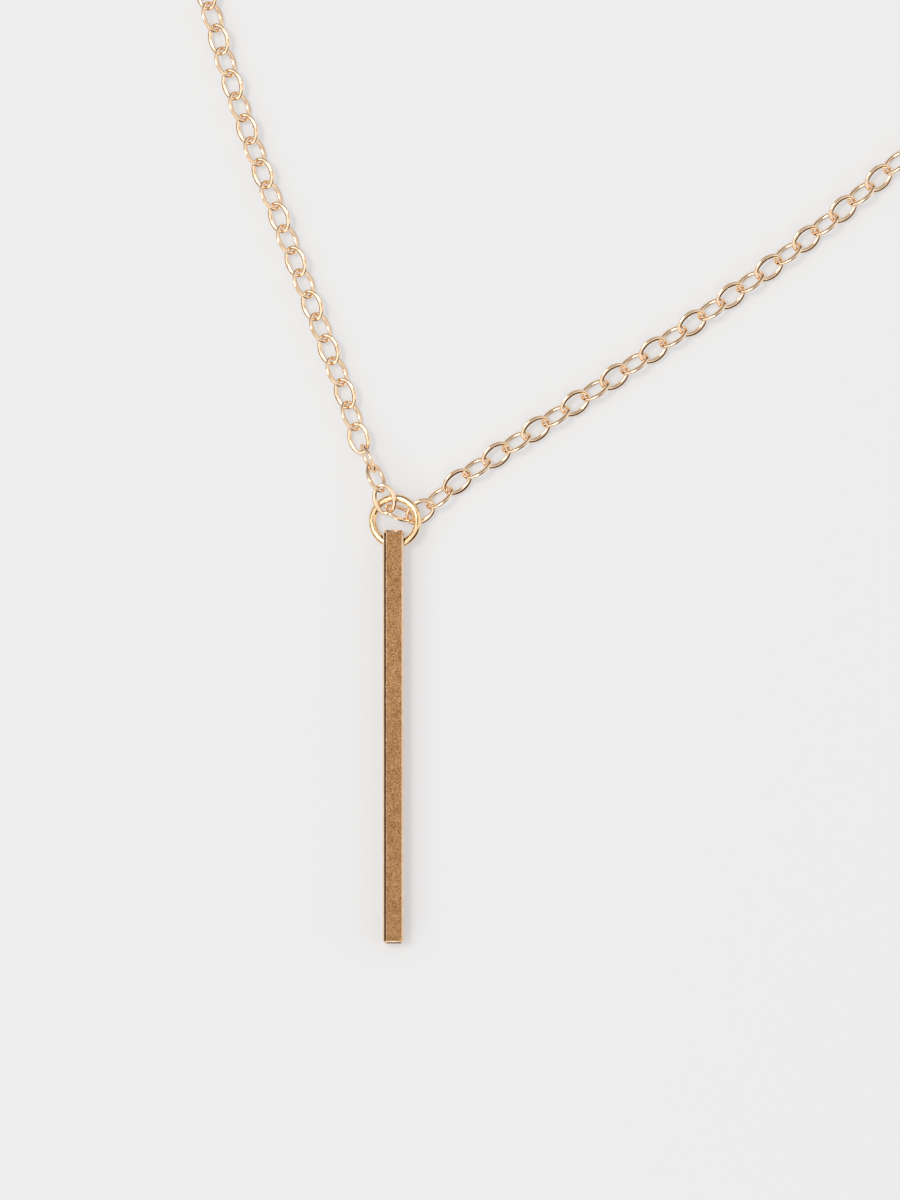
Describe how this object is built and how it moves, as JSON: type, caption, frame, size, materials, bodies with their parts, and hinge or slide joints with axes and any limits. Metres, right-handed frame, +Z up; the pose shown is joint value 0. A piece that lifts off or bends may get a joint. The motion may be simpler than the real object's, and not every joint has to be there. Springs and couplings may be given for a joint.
{
  "type": "bar pendant necklace",
  "caption": "Slim square metal bar, cross-drilled at one end, on a jump ring and a fine oval cable chain with a ring clasp, lying flat.",
  "frame": {"origin": "centre of the bar's back face, which rests on the surface", "axes": "+X to the right, +Y along the bar towards the chain, +Z up from the surface"},
  "size_m": [0.127, 0.2091, 0.0029],
  "materials": {
    "bar_metal": "satin rose gold",
    "ring_metal": "polished yellow gold",
    "chain_metal": "polished rose gold"
  },
  "bodies": {
    "root": {"bar": "bar_metal", "jump_ring": "ring_metal", "chain_left": "chain_metal", "chain_right": "chain_metal", "clasp": "chain_metal", "end_ring": "chain_metal"}
  },
  "joints": []
}
